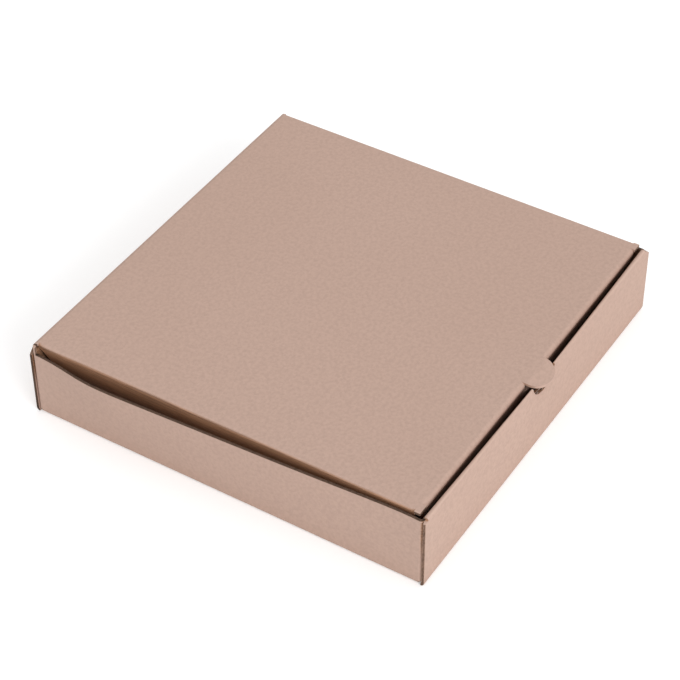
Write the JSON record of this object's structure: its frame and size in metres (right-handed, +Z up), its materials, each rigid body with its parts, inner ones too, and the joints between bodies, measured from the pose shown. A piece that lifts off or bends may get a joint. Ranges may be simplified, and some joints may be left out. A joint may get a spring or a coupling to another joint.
{
  "type": "pizza box",
  "caption": "Flat square box folded from thin brown corrugated board, with a hinged tuck-in lid and a half-round thumb tab at the front.",
  "frame": {"origin": "centre of the base's underside", "axes": "+Z up, from the base to the lid. The front wall with the thumb tab faces -Y and the lid's crease is at +Y"},
  "size_m": [0.2371, 0.2323, 0.044],
  "materials": {
    "board": "matte",
    "lid_board": "matte"
  },
  "bodies": {
    "tray": {"tray": "board"},
    "lid": {"lid": "lid_board"}
  },
  "joints": [
    {"name": "lid_hinge", "type": "hinge", "parent": "tray", "child": "lid", "pos_m": [0, 0.1142, 0.041], "axis": [-1, 0, 0], "range_deg": [0, 180]}
  ]
}
